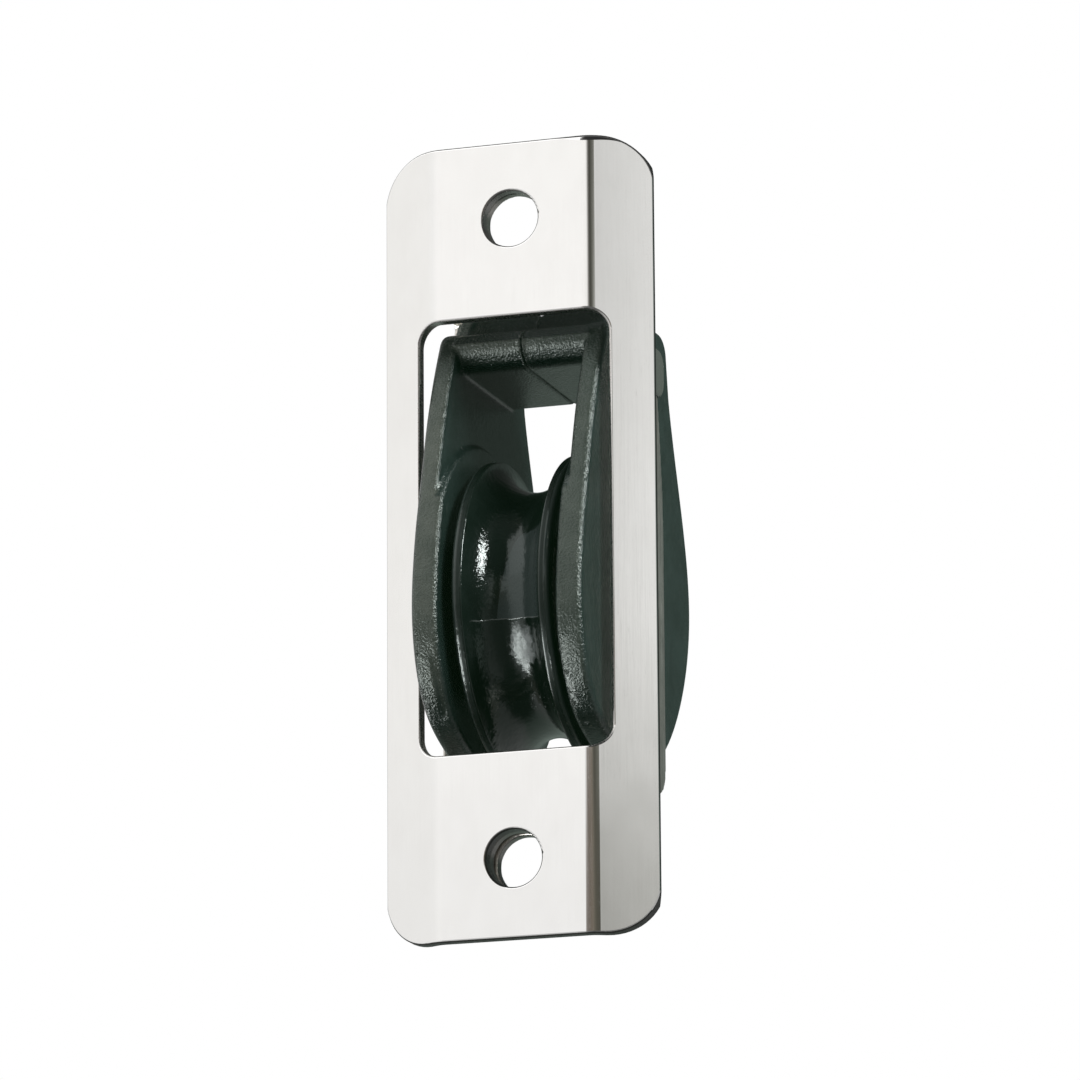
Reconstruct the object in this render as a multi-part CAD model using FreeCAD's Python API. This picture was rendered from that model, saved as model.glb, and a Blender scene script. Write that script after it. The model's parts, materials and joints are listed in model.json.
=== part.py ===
import FreeCAD, Part
import math
import os
from FreeCAD import Vector

# Flush single sheave block for a mast or bulkhead exit, in millimetres.
# +X is to the right of the cover plate, +Y runs back into the mast, +Z is up.
# The origin is on the front face of the cover plate, midway between the screw holes.
# The sheave turns about an axis along X behind the window.

# ---- cover plate: bent sheet with a centre flat and two swept-back flanges
cover_t = 1.10
flat_half = 7.50            # half width of the flat, to where the front faces would meet
flange_w = 6.25
flange_angle = math.radians(26.0)
bend_r = 2.90               # outer radius of the two bends
cover_top = 37.30
cover_bot = -37.35
cover_corner_r = 4.80
win_half = 9.15             # window, measured square to the flat
win_top = 20.70
win_bot = -20.10
win_corner_r = 2.00
screw_z = 30.0              # screw holes sit at +/- this height
screw_r = 2.65              # clearance for a 5 mm screw
cover_edge_sizes = (0.22, 0.15, 0.1)
tip_x = flat_half + flange_w * math.cos(flange_angle)
tip_y = flange_w * math.sin(flange_angle)

# ---- mounting strap: two arms joined by an upper foot, with two lapped lower feet
strap_t = 1.25
strap_in = 7.85             # inner face of each arm
strap_out = strap_in + strap_t
strap_bend_r = 3.20         # outer radius where an arm turns into a foot
bend_x = strap_out - strap_bend_r
foot_half = 5.60            # half width of the rounded foot ends
lower_gap = 0.95            # gap between the two lower feet
front_foot_y = cover_t
rear_foot_y = front_foot_y + strap_t + lower_gap
top_root = (23.40, 28.2)    # z range where the arms meet the upper foot
low_root = (-25.4, -20.9)   # z range where the arms meet the lower feet

# ---- axle, sheave and bearing
axle_y = 10.80
axle_z = -5.25
axle_r = 3.00
axle_bore_r = 2.20
axle_flare_r = 3.55         # axle ends flare out into the strap's countersinks
axle_flare_d = 0.55
sheave_r = 14.50
sheave_half = 4.65
groove_bottom_r = 11.40
groove_arc_r = 3.70
lip_drop = 0.15             # the groove meets each lip this far inside the sheave radius
lip_round = 0.40            # outer round of each lip
face_recess = 0.45          # depth of the ring-shaped recess in each sheave face
hub_drop = 0.10             # hub face and caps lie this far inside the sheave face
hub_x = sheave_half - hub_drop
hub_bore_r = 7.00
ball_r = 1.15
ball_track_r = 1.20
ball_pitch_r = 6.20
ball_row_x = 1.75
balls_per_row = 16
race_land_r = 5.40          # outside of the inner race between its tracks
race_half = 5.00
race_chamfer = 0.15
cap_r = 8.30
cap_in_r = 5.55
cap_t = 0.80
cap_chamfer = 0.12
washer_r = 7.20

# ---- moulded cheeks
cheek_out = 8.15
cheek_in = 6.20
cheek_land = 5.60           # inner face of the raised circular land beside the sheave
cheek_land_r = 16.20
land_overlap = 0.3
bridge_overlap = 0.4
boss_overlap = 0.2
crown_z = 23.10
boss_x = 8.70

# ---- head rivet
head_y = 12.05
head_z = 19.50
rivet_r = 1.10
rivet_flare_r = 1.32        # rivet ends flare flush into the strap
rivet_flare_d = 0.40
sleeve_r = 1.80

# ---- reach of the cutting tools
cut_x = 12.0                # cutters along X run to +/- this
cut_front = -3.0            # cutters along Y run between these
cut_back = 8.0

# Cheek side outline (y, z): down the front edge, round the bottom and up the back.
cheek_teardrop = [
    (3.15, 19.4), (1.72, 16.6), (0.32, 13.4), (-0.85, 10.2), (-1.78, 7.1), (-2.72, 4.0),
    (-3.68, 0.8), (-4.45, -2.8), (-4.88, -6.4), (-4.74, -9.2), (-4.05, -12.0), (-2.6, -14.8),
    (-0.3, -17.0), (3.4, -18.75), (7.4, -19.85), (12.0, -20.15), (16.6, -19.2), (20.4, -17.2),
    (23.6, -14.4), (26.2, -11.0), (28.05, -7.2), (28.95, -3.2), (28.8, 0.8), (27.75, 5.0),
    (26.15, 9.3), (24.35, 13.9), (23.1, 17.6)]

# Top of the cheek outline, back to front, closing the teardrop.
# Each step holds (y, z) points: one ends a line, two are the middle and end of an arc.
cheek_head = [
    [(22.45, 21.3)],
    [(21.75, 22.85), (20.1, crown_z + 0.4)],
    [(9.2, crown_z)],
    [(8.55, 22.8), (8.15, 22.25)],
    [(7.25, 21.15)],
    [(4.75, 20.6)],
    [(3.75, 20.2), cheek_teardrop[0]]]

# Corner tables (y, z, corner radius); a zero radius keeps the corner sharp.
bridge_corners = [
    (2.90, 19.2, 0), (2.90, 18.4, 1.8), (4.35, 16.85, 2.4), (19.10, 16.85, 0.9),
    (19.7, 18.2, 0.8), (19.7, 21.6, 1.2), (18.6, crown_z, 0.4), (9.1, crown_z, 0.5),
    (7.2, 21.1, 0.4), (4.75, 20.55, 0), (3.6, 20.1, 0)]
boss_corners = [(13.7, 16.6, 1.7), (19.7, 16.6, 1.7), (19.7, 21.3, 1.5), (13.7, 21.3, 1.2)]
seat_corners = [
    (6.6, 13.0, 4.0), (6.6, -24.0, 0), (17.65, -24.0, 0), (17.65, 8.0, 1.5),
    (18.9, 14.6, 1.2), (18.9, 16.5, 0.3), (13.6, 16.5, 0), (13.6, 24.5, 0),
    (10.3, 24.5, 0), (10.1, 20.6, 3.0)]


# ---------------------------------------------------------------- helpers
def save(shape, name):
    shape.exportStep("parts/%s.step" % name)


def mirror_x(shape):
    return shape.mirror(Vector(0, 0, 0), Vector(1, 0, 0))


def save_pair(right, name):
    save(right, "right_" + name)
    save(mirror_x(right), "left_" + name)


def refined(shape):
    """Merge split faces and unwrap a lone solid."""
    shape = shape.removeSplitter()
    return shape.Solids[0] if len(shape.Solids) == 1 else shape


def edge_chain(start, steps, place):
    """Connected edges; a step is [end] for a line or [middle, end] for an arc.

    place turns each 2D point into a Vector.
    """
    edges = []
    for step in steps:
        points = [place(*point) for point in (start, *step)]
        if len(points) == 2:
            edges.append(Part.makeLine(*points))
        else:
            edges.append(Part.Arc(*points).toShape())
        start = step[-1]
    return edges


def bore_x(shape, radius, y, z):
    """Cut a hole along X right through the block."""
    return shape.cut(Part.makeCylinder(radius, 2 * cut_x, Vector(-cut_x, y, z), Vector(1, 0, 0)))


def cut_screw_holes(shape):
    for sign in (1, -1):
        shape = shape.cut(Part.makeCylinder(
            screw_r, cut_back - cut_front, Vector(0, cut_front, sign * screw_z),
            Vector(0, 1, 0)))
    return shape


def rounded_block_y(half, z0, z1, r):
    """Rounded rectangle in XZ, centred on x = 0, extruded over the Y cutting range."""
    k = r * (1.0 - math.sqrt(0.5))
    steps = [
        [(half - r, z0)], [(half - k, z0 + k), (half, z0 + r)],
        [(half, z1 - r)], [(half - k, z1 - k), (half - r, z1)],
        [(-half + r, z1)], [(-half + k, z1 - k), (-half, z1 - r)],
        [(-half, z0 + r)], [(-half + k, z0 + k), (-half + r, z0)]]
    edges = edge_chain((-half + r, z0), steps, lambda x, z: Vector(x, cut_front, z))
    return Part.Face(Part.Wire(edges)).extrude(Vector(0, cut_back - cut_front, 0))


def rounded_prism_x(corners, x0, x1):
    """Polygon in YZ with a radius at each corner, extruded from x0 to x1."""
    points = [Vector(x0, y, z) for y, z, _ in corners]
    ends = []               # start, arc middle (or None) and finish of each corner
    for i, corner in enumerate(points):
        radius = corners[i][2]
        if radius <= 0:
            ends.append((corner, None, corner))
            continue
        to_last = points[i - 1] - corner
        to_next = points[(i + 1) % len(points)] - corner
        to_last.normalize()
        to_next.normalize()
        half_angle = to_last.getAngle(to_next) / 2.0
        tangent = radius / math.tan(half_angle)
        bisector = to_last + to_next
        bisector.normalize()
        centre = corner + bisector * (radius / math.sin(half_angle))
        ends.append((corner + to_last * tangent, centre - bisector * radius,
                     corner + to_next * tangent))
    edges = []
    for i, (start, middle, finish) in enumerate(ends):
        if middle is not None:
            edges.append(Part.Arc(start, middle, finish).toShape())
        following = ends[(i + 1) % len(ends)][0]
        if (following - finish).Length > 1e-6:
            edges.append(Part.makeLine(finish, following))
    return Part.Face(Part.Wire(edges)).extrude(Vector(x1 - x0, 0, 0))


def revolve_x(profile, y=axle_y, z=axle_z):
    """Closed (radius, x) profile turned about a line along X, the axle's by default."""
    points = [Vector(x, y, z + r) for r, x in profile]
    face = Part.Face(Part.makePolygon(points + [points[0]]))
    return refined(face.revolve(Vector(0, y, z), Vector(1, 0, 0), 360))


def edges_on_x(shape, x):
    """Edges that lie wholly in the plane at x."""
    return [e for e in shape.Edges
            if abs(e.BoundBox.XMin - x) < 1e-6 and abs(e.BoundBox.XMax - x) < 1e-6]


def fillet_first_fit(shape, edges, sizes):
    """Fillet with the first size that gives one sound solid, else leave the shape as it is."""
    for size in sizes:
        # Guards against the kernel refusing a radius; the next size is then tried.
        try:
            out = shape.makeFillet(size, edges)
            if out.isValid() and len(out.Solids) == 1 and out.Volume > 0.5 * shape.Volume:
                return out
        except Exception:
            pass
    return shape


# ---------------------------------------------------------------- cover plate
def cover_bend(radius):
    """Start, middle and end (x, y) of the right bend; front and back are concentric."""
    centre_x = flat_half - bend_r * math.tan(flange_angle / 2)
    return [(centre_x + radius * math.sin(a), bend_r - radius * math.cos(a))
            for a in (0, flange_angle / 2, flange_angle)]


def cover_section(z):
    """Bent sheet section in the XY plane at height z."""
    def left(point):
        return (-point[0], point[1])

    front = cover_bend(bend_r)
    back = cover_bend(bend_r - cover_t)
    front_tip = (tip_x, tip_y)
    back_tip = (tip_x - cover_t * math.sin(flange_angle),
                tip_y + cover_t * math.cos(flange_angle))
    steps = [
        [front[0]], [front[1], front[2]],
        [front_tip], [back_tip],
        [back[2]], [back[1], back[0]],
        [left(back[0])], [left(back[1]), left(back[2])],
        [left(back_tip)], [left(front_tip)],
        [left(front[2])], [left(front[1]), left(front[0])]]
    return Part.Face(Part.Wire(edge_chain(left(front[0]), steps, lambda x, y: Vector(x, y, z))))


def cover_front_edges(shape):
    """Edges round the front face, leaving out the bend lines."""
    def is_upright(edge):
        return all(abs(abs(edge.tangentAt(t).z) - 1) < 1e-3
                   for t in (edge.FirstParameter, edge.LastParameter))

    chosen = []
    for edge in shape.Edges:
        centre = edge.CenterOfMass
        x = abs(centre.x)
        front_y = 0.0 if x < flat_half - 0.2 else (x - flat_half) * math.tan(flange_angle)
        if abs(centre.y - front_y) >= 0.35 * cover_t:
            continue
        on_border = abs(x - tip_x) < 0.05 or abs(x - win_half) < 0.05
        if on_border or not is_upright(edge):
            chosen.append(edge)
    return chosen


def cover_plate():
    # The sheet is made 1 mm overlong at each end, then trimmed to the rounded outline.
    cover = cover_section(cover_bot - 1).extrude(Vector(0, 0, cover_top - cover_bot + 2))
    cover = cover.common(rounded_block_y(tip_x + 0.001, cover_bot, cover_top, cover_corner_r))
    cover = cover.cut(rounded_block_y(win_half, win_bot, win_top, win_corner_r))
    cover = refined(cut_screw_holes(cover))
    return fillet_first_fit(cover, cover_front_edges(cover), cover_edge_sizes)


# ---------------------------------------------------------------- mounting strap
def strap_arm(low_foot_y):
    """Right arm: a strip beside the axle, narrowing towards the head."""
    top_front = front_foot_y + strap_bend_r
    low_front = low_foot_y + strap_bend_r
    corners = [
        (top_front, top_root[0], 0), (10.7, top_root[0], 0.45), (10.5, 20.6, 3.0),
        (6.9, 12.6, 4.0), (6.9, low_root[1], 1.4), (low_front, low_root[1], 0),
        (low_front, low_root[0], 0), (8.6, -24.9, 4.0), (12.6, -22.2, 1.5),
        (17.36, -21.75, 2.6), (17.36, 6.5, 30.0), (16.05, 16.25, 0.8), (13.45, 16.35, 0.3),
        (13.45, top_root[0], 4.0), (11.6, top_root[1], 2.2), (top_front, top_root[1], 0)]
    return rounded_prism_x(corners, strap_in, strap_out)


def foot_bend(y_front, root):
    """Quarter bend from the right arm into a foot, over the root's z range."""
    outer = strap_bend_r
    inner = strap_bend_r - strap_t
    y = y_front + outer
    q = math.sqrt(0.5)
    steps = [
        [(bend_x + outer * q, y - outer * q), (bend_x, y - outer)],
        [(bend_x, y - inner)],
        [(bend_x + inner * q, y - inner * q), (bend_x + inner, y)],
        [(bend_x + outer, y)]]
    edges = edge_chain((bend_x + outer, y), steps, lambda x, y: Vector(x, y, root[0]))
    return Part.Face(Part.Wire(edges)).extrude(Vector(0, 0, root[1] - root[0]))


def tapered_foot(y_front, x0, x1, root, z_hole):
    """Band from x0 to x1 over the root, then a taper onto a round end at the screw hole."""
    z_far = root[1] if z_hole > 0 else root[0]
    band = Part.makeBox(x1 - x0, strap_t, root[1] - root[0], Vector(x0, y_front, root[0]))
    outline = [Vector(x, y_front, z) for x, z in
               ((x0, z_far), (x1, z_far), (foot_half, z_hole), (-foot_half, z_hole))]
    taper = Part.Face(Part.makePolygon(outline + [outline[0]])).extrude(Vector(0, strap_t, 0))
    end = Part.makeCylinder(foot_half, strap_t, Vector(0, y_front, z_hole), Vector(0, 1, 0))
    return band.fuse([taper, end])


def mounting_strap():
    top_bend = foot_bend(front_foot_y, top_root)
    # The left arm carries the front lower foot, the right arm the rear one.
    strap = strap_arm(rear_foot_y).fuse([
        mirror_x(strap_arm(front_foot_y)),
        top_bend, mirror_x(top_bend),
        mirror_x(foot_bend(front_foot_y, low_root)), foot_bend(rear_foot_y, low_root)])
    strap = strap.fuse([
        tapered_foot(front_foot_y, -bend_x, bend_x, top_root, screw_z),
        tapered_foot(front_foot_y, -bend_x, foot_half, low_root, -screw_z),
        tapered_foot(rear_foot_y, -foot_half, bend_x, low_root, -screw_z)])
    strap = cut_screw_holes(strap)
    strap = bore_x(strap, axle_r, axle_y, axle_z)
    strap = bore_x(strap, rivet_r, head_y, head_z)
    # Countersinks in the outer faces for the flared axle and rivet ends.
    for sign in (1, -1):
        for r, flare_r, depth, y, z in (
                (axle_r, axle_flare_r, axle_flare_d, axle_y, axle_z),
                (rivet_r, rivet_flare_r, rivet_flare_d, head_y, head_z)):
            strap = strap.cut(Part.makeCone(
                r, flare_r, depth, Vector(sign * (strap_out - depth), y, z),
                Vector(sign, 0, 0)))
    return refined(strap)


# ---------------------------------------------------------------- cheeks
def cheek_face(x):
    """Teardrop side outline with the head on top, in the plane at x."""
    def place(y, z):
        return Vector(x, y, z)

    spline = Part.BSplineCurve()
    spline.interpolate([place(*point) for point in cheek_teardrop])
    head = edge_chain(cheek_teardrop[-1], cheek_head, place)
    return Part.Face(Part.Wire([spline.toShape()] + head))


def cheek_plate():
    plate = cheek_face(cheek_in).extrude(Vector(cheek_out - cheek_in, 0, 0))
    outer_rim = [e for e in plate.Edges if abs(e.CenterOfMass.x - cheek_out) < 1e-6]
    plate = fillet_first_fit(plate, outer_rim, (0.65, 0.55, 0.4, 0.3))
    return fillet_first_fit(plate, edges_on_x(plate, cheek_in), (0.5, 0.4, 0.3))


def cheek_raised_land():
    """Raised circular land beside the sheave, kept inside the cheek outline."""
    land = Part.makeCylinder(cheek_land_r, cheek_in + land_overlap - cheek_land,
                             Vector(cheek_land, axle_y, axle_z), Vector(1, 0, 0))
    land = land.common(cheek_face(cheek_land - 1).extrude(Vector(4, 0, 0)))
    return fillet_first_fit(land, edges_on_x(land, cheek_land), (0.6, 0.5, 0.4, 0.3, 0.2))


def cheek_bridge():
    """Right half of the head bridge, with its lower and front edges broken at x = 0."""
    bridge = rounded_prism_x(bridge_corners, 0.0, cheek_in + bridge_overlap)
    seam = [e for e in edges_on_x(bridge, 0.0)
            if e.CenterOfMass.z < 19.0 and e.CenterOfMass.y < 19.0]
    return fillet_first_fit(bridge, seam, (0.12, 0.08))


def head_boss():
    """Rounded boss on the outside of the head."""
    boss = rounded_prism_x(boss_corners, cheek_out - boss_overlap, boss_x)
    return fillet_first_fit(boss, edges_on_x(boss, boss_x), (0.35, 0.25))


def right_cheek():
    cheek = cheek_plate().fuse([cheek_raised_land(), cheek_bridge()])
    cheek = cheek.fuse(head_boss())
    # Shallow seat for the strap arm, open at the top and bottom.
    cheek = cheek.cut(rounded_prism_x(seat_corners, strap_in, strap_out + 2))
    cheek = bore_x(cheek, axle_r, axle_y, axle_z)
    cheek = bore_x(cheek, sleeve_r, head_y, head_z)
    return refined(cheek)


# ---------------------------------------------------------------- sheave and bearing
def cut_ball_tracks(shape):
    for sign in (1, -1):
        shape = shape.cut(Part.makeTorus(
            ball_pitch_r, ball_track_r, Vector(sign * ball_row_x, axle_y, axle_z),
            Vector(1, 0, 0)))
    return refined(shape)


def sheave():
    """Grooved wheel turned from a (radius, x) profile, with two ball tracks in its bore."""
    groove_edge_r = sheave_r - lip_drop
    groove_centre_r = groove_bottom_r + groove_arc_r
    groove_x = math.sqrt(groove_arc_r ** 2 - (groove_centre_r - groove_edge_r) ** 2)
    lip_mid = (sheave_r - 0.035, groove_x + 0.06)   # on the small inner round of the lip
    lip_in = (sheave_r, groove_x + 0.20)
    lip_out = (sheave_r, sheave_half - lip_round)
    inset = lip_round * (1 - math.sqrt(0.5))
    round_mid = (sheave_r - inset, sheave_half - inset)
    recess_x = sheave_half - face_recess
    # Right face from the lip inwards to the bore.
    side = [
        (sheave_r - lip_round, sheave_half), (12.7, sheave_half), (12.3, recess_x),
        (9.5, recess_x), (9.2, hub_x), (cap_r, hub_x), (cap_r, hub_x - cap_t),
        (hub_bore_r, hub_x - cap_t)]

    def left(point):
        return (point[0], -point[1])

    groove_edge = (groove_edge_r, groove_x)
    steps = [[(groove_bottom_r, 0), groove_edge], [lip_mid, lip_in], [lip_out],
             [round_mid, side[0]]]
    steps += [[point] for point in side[1:]]
    steps += [[left(point)] for point in reversed(side)]
    steps += [[left(round_mid), left(lip_out)], [left(lip_in)],
              [left(lip_mid), left(groove_edge)]]
    edges = edge_chain(left(groove_edge), steps, lambda r, x: Vector(x, axle_y, axle_z + r))
    face = Part.Face(Part.Wire(edges))
    return cut_ball_tracks(face.revolve(Vector(0, axle_y, axle_z), Vector(1, 0, 0), 360))


def bearing_cap():
    """Right cap, seated in the sheave's hub face."""
    return revolve_x([
        (cap_in_r, hub_x - cap_t), (cap_r, hub_x - cap_t), (cap_r, hub_x - cap_chamfer),
        (cap_r - cap_chamfer, hub_x), (cap_in_r + cap_chamfer, hub_x),
        (cap_in_r, hub_x - cap_chamfer)])


def inner_race():
    """Sleeve on the axle with two ball tracks, between the thrust washers."""
    return cut_ball_tracks(revolve_x([
        (axle_r, -race_half), (race_land_r - race_chamfer, -race_half),
        (race_land_r, -race_half + race_chamfer), (race_land_r, race_half - race_chamfer),
        (race_land_r - race_chamfer, race_half), (axle_r, race_half)]))


def ball_row(x, phase):
    """Ring of balls at x, turned by phase of one ball spacing."""
    balls = []
    for i in range(balls_per_row):
        angle = 2 * math.pi * (i + phase) / balls_per_row
        balls.append(Part.makeSphere(ball_r, Vector(
            x, axle_y + ball_pitch_r * math.cos(angle),
            axle_z + ball_pitch_r * math.sin(angle))))
    return Part.makeCompound(balls)


def thrust_washer():
    """Right washer, between the inner race and the cheek land."""
    return revolve_x([(axle_r, race_half), (washer_r, race_half),
                      (washer_r, cheek_land), (axle_r, cheek_land)])


# ---------------------------------------------------------------- axle and head rivet
def axle_tube():
    """Tube with both ends flared flush into the strap."""
    flare_x = strap_out - axle_flare_d
    flare_bore_r = axle_bore_r + axle_flare_r - axle_r
    return revolve_x([
        (axle_bore_r, -flare_x), (flare_bore_r, -strap_out), (axle_flare_r, -strap_out),
        (axle_r, -flare_x), (axle_r, flare_x), (axle_flare_r, strap_out),
        (flare_bore_r, strap_out), (axle_bore_r, flare_x)])


def head_rivet():
    flare_x = strap_out - rivet_flare_d
    return revolve_x([
        (0, -strap_out), (rivet_flare_r, -strap_out), (rivet_r, -flare_x),
        (rivet_r, flare_x), (rivet_flare_r, strap_out), (0, strap_out)], head_y, head_z)


def head_sleeve():
    """Spacer sleeve round the rivet, between the strap arms."""
    return revolve_x([(rivet_r, -strap_in), (sleeve_r, -strap_in),
                      (sleeve_r, strap_in), (rivet_r, strap_in)], head_y, head_z)


os.makedirs("parts", exist_ok=True)
save(cover_plate(), "cover_plate")
save(mounting_strap(), "mounting_strap")
save_pair(right_cheek(), "cheek")
save(sheave(), "sheave")
save_pair(bearing_cap(), "bearing_cap")
save(inner_race(), "inner_race")
# The left row is staggered by half a ball spacing.
save(ball_row(ball_row_x, phase=0), "right_ball_row")
save(ball_row(-ball_row_x, phase=0.5), "left_ball_row")
save_pair(thrust_washer(), "thrust_washer")
save(axle_tube(), "axle_tube")
save(head_rivet(), "head_rivet")
save(head_sleeve(), "head_sleeve")
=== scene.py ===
"""A small upright block: one grooved wheel between two moulded cheeks, wrapped by a strap
and fronted by a bright cover plate with a hole at each end.

+Z is up, the cover plate faces -Y, right is +X, and the wheel turns about a line along X.
Sizes are in millimetres unless a comment says otherwise; MM turns them into metres.
"""
import bpy, bmesh, math, json
import numpy as np
from mathutils import Matrix, Vector

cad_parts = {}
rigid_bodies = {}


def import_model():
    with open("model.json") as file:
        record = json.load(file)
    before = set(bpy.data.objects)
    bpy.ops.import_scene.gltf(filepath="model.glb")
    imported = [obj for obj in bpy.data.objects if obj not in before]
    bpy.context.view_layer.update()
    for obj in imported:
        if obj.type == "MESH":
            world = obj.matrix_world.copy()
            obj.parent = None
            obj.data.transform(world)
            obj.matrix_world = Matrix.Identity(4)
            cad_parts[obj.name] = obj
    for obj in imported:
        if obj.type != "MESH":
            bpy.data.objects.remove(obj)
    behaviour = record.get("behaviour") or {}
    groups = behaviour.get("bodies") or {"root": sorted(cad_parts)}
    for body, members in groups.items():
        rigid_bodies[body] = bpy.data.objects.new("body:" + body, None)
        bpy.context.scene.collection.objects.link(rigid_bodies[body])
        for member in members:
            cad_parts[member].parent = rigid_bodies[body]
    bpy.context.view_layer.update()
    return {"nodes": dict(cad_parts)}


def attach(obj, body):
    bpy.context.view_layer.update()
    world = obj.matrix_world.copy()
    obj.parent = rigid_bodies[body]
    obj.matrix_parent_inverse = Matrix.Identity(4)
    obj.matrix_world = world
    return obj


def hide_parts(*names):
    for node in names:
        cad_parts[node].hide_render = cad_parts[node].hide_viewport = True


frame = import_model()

scene = bpy.context.scene
scene.view_settings.view_transform = "Standard"
scene.view_settings.look = "None"
scene.view_settings.exposure = 0.0
scene.view_settings.gamma = 1.0

MM = .001
AXLE_Y, AXLE_Z = 10.80, -5.25          # wheel's axis
HEAD_Y, HEAD_Z = 12.05, 19.50          # head rivet's axis
HOLE_Z = 30.0                          # end holes, above and below the origin

# cover plate's outline, seen from the front
PLATE_HALF_WIDTH = 13.117
PLATE_HALF_HEIGHT = 37.325
PLATE_CORNER_R = 4.8
PLATE_DROP = 0.025                     # its centre below the origin
# cover plate's section: flat middle, then a bend into each flange
BEND_START_X, BEND_WIDTH = 6.83, 1.27
FLANGE_TILT = 26.0                     # degrees

# wheel
WHEEL_R, WHEEL_HALF_WIDTH = 14.50, 4.65
GROOVE_R, GROOVE_ARC_R = 11.40, 3.70   # groove's floor, and the arc of its section
LIP_RISE, LIP_WIDTH = 0.15, 0.20       # inner round of the groove's lips
RIM_ROUND = 0.40
BORE_R = 7.00
TRACK_PITCH_R, TRACK_R, TRACK_X = 6.20, 1.20, 1.75
CAP_FACE_X = WHEEL_HALF_WIDTH - 0.10

AXLE_END_X = 9.10
AXLE_FLARE_X = AXLE_END_X - 0.55       # where the ends start to flare


# =====================================================================
# node graphs
# =====================================================================
class Value:
    """An output socket. Arithmetic on it adds Math nodes."""
    def __init__(self, net, socket):
        self.net = net
        self.socket = socket

    def __add__(self, other):
        return self.net.math("ADD", self, other)

    def __radd__(self, other):
        return self.net.math("ADD", other, self)

    def __sub__(self, other):
        return self.net.math("SUBTRACT", self, other)

    def __rsub__(self, other):
        return self.net.math("SUBTRACT", other, self)

    def __mul__(self, other):
        return self.net.math("MULTIPLY", self, other)

    def __truediv__(self, other):
        return self.net.math("DIVIDE", self, other)

    def __pow__(self, other):
        return self.net.math("POWER", self, other)

    def __abs__(self):
        return self.net.math("ABSOLUTE", self)

    def at_least(self, other):
        return self.net.math("MAXIMUM", self, other)

    def at_most(self, other):
        return self.net.math("MINIMUM", self, other)

    def scaled(self, factors):
        """Vector or colour multiplied part by part."""
        return self.net.value("ShaderNodeVectorMath", {0: self, 1: factors},
                              operation="MULTIPLY")

    def remap(self, span, to, kind="SMOOTHSTEP"):
        inputs = {0: self, 1: span[0], 2: span[1], 3: to[0], 4: to[1]}
        return self.net.value("ShaderNodeMapRange", inputs, interpolation_type=kind)

    def rises(self, start, end):
        """Smooth mask: 0 up to start, 1 from end on."""
        return self.remap((start, end), to=(0.0, 1.0))

    def falls(self, start, end):
        """Smooth mask: 1 up to start, 0 from end on."""
        return self.remap((start, end), to=(1.0, 0.0))


class Net:
    """A node tree, emptied and then built up. Inputs are keyed by name or index."""
    def __init__(self, tree):
        self.tree = tree
        tree.nodes.clear()

    def put(self, socket, value):
        if isinstance(value, Value):
            self.tree.links.new(value.socket, socket)
        elif value is not None:
            if socket.type == "RGBA":
                value = (*value, 1)
            socket.default_value = value

    def node(self, kind, inputs={}, **settings):
        node = self.tree.nodes.new(kind)
        for name, setting in settings.items():
            setattr(node, name, setting)
        for key, value in inputs.items():
            self.put(node.inputs[key], value)
        return node

    def value(self, kind, inputs={}, output=0, **settings):
        return Value(self, self.node(kind, inputs, **settings).outputs[output])

    def math(self, operation, *operands):
        return self.value("ShaderNodeMath", dict(enumerate(operands)), operation=operation)

    def separate(self, vector):
        node = self.node("ShaderNodeSeparateXYZ", {0: vector})
        return [Value(self, socket) for socket in node.outputs]

    def combine(self, x, y, z):
        return self.value("ShaderNodeCombineXYZ", {0: x, 1: y, 2: z})

    def length(self, x, y, z):
        return self.value("ShaderNodeVectorMath", {0: self.combine(x, y, z)},
                          output="Value", operation="LENGTH")

    def coords(self, output):
        return self.value("ShaderNodeTexCoord", output=output)

    def place(self):
        """Object coordinates in millimetres."""
        return self.coords("Object").scaled((1000.0, 1000.0, 1000.0))

    def noise(self, vector, scale=1.0, detail=4.0, rough=0.6, distort=0.0):
        inputs = {"Vector": vector, "Scale": scale, "Detail": detail,
                  "Roughness": rough, "Distortion": distort}
        return self.value("ShaderNodeTexNoise", inputs)

    def blend(self, amount, start, end):
        """Colour from start to end."""
        return self.value("ShaderNodeMix", {0: amount, 6: start, 7: end}, output=2,
                          data_type="RGBA")

    def fade(self, amount, start, end):
        """Number from start to end."""
        return self.value("ShaderNodeMix", {0: amount, 2: start, 3: end}, data_type="FLOAT")

    def bump(self, height, distance, strength=1.0, normal=None):
        inputs = {"Height": height, "Distance": distance, "Strength": strength,
                  "Normal": normal}
        return self.value("ShaderNodeBump", inputs)


def surface(name, build):
    """Material from a function that returns the Principled shader's inputs."""
    mat = bpy.data.materials.new(name)
    mat.use_nodes = True
    net = Net(mat.node_tree)
    shader = net.value("ShaderNodeBsdfPrincipled", build(net))
    net.node("ShaderNodeOutputMaterial", {0: shader})
    return mat


# =====================================================================
# materials: masks shared between them
# =====================================================================
def edge_depth(net, x, z):
    """Distance inwards from the cover plate's rounded outline."""
    over_x = abs(x) - (PLATE_HALF_WIDTH - PLATE_CORNER_R)
    over_z = abs(z + PLATE_DROP) - (PLATE_HALF_HEIGHT - PLATE_CORNER_R)
    outside = net.length(over_x.at_least(0.0), over_z.at_least(0.0), 0.0)
    inside = over_x.at_least(over_z).at_most(0.0)
    return PLATE_CORNER_R - (outside + inside)


def hole_radius(net, x, z):
    """Distance from the axis of the nearer end hole."""
    return net.length(x, 0.0, abs(z) - HOLE_Z)


def from_axle(net, y, z):
    """Offsets and distance from the wheel's axis."""
    dy = y - AXLE_Y
    dz = z - AXLE_Z
    return dy, dz, net.math("SQRT", dy * dy + dz * dz)


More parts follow.
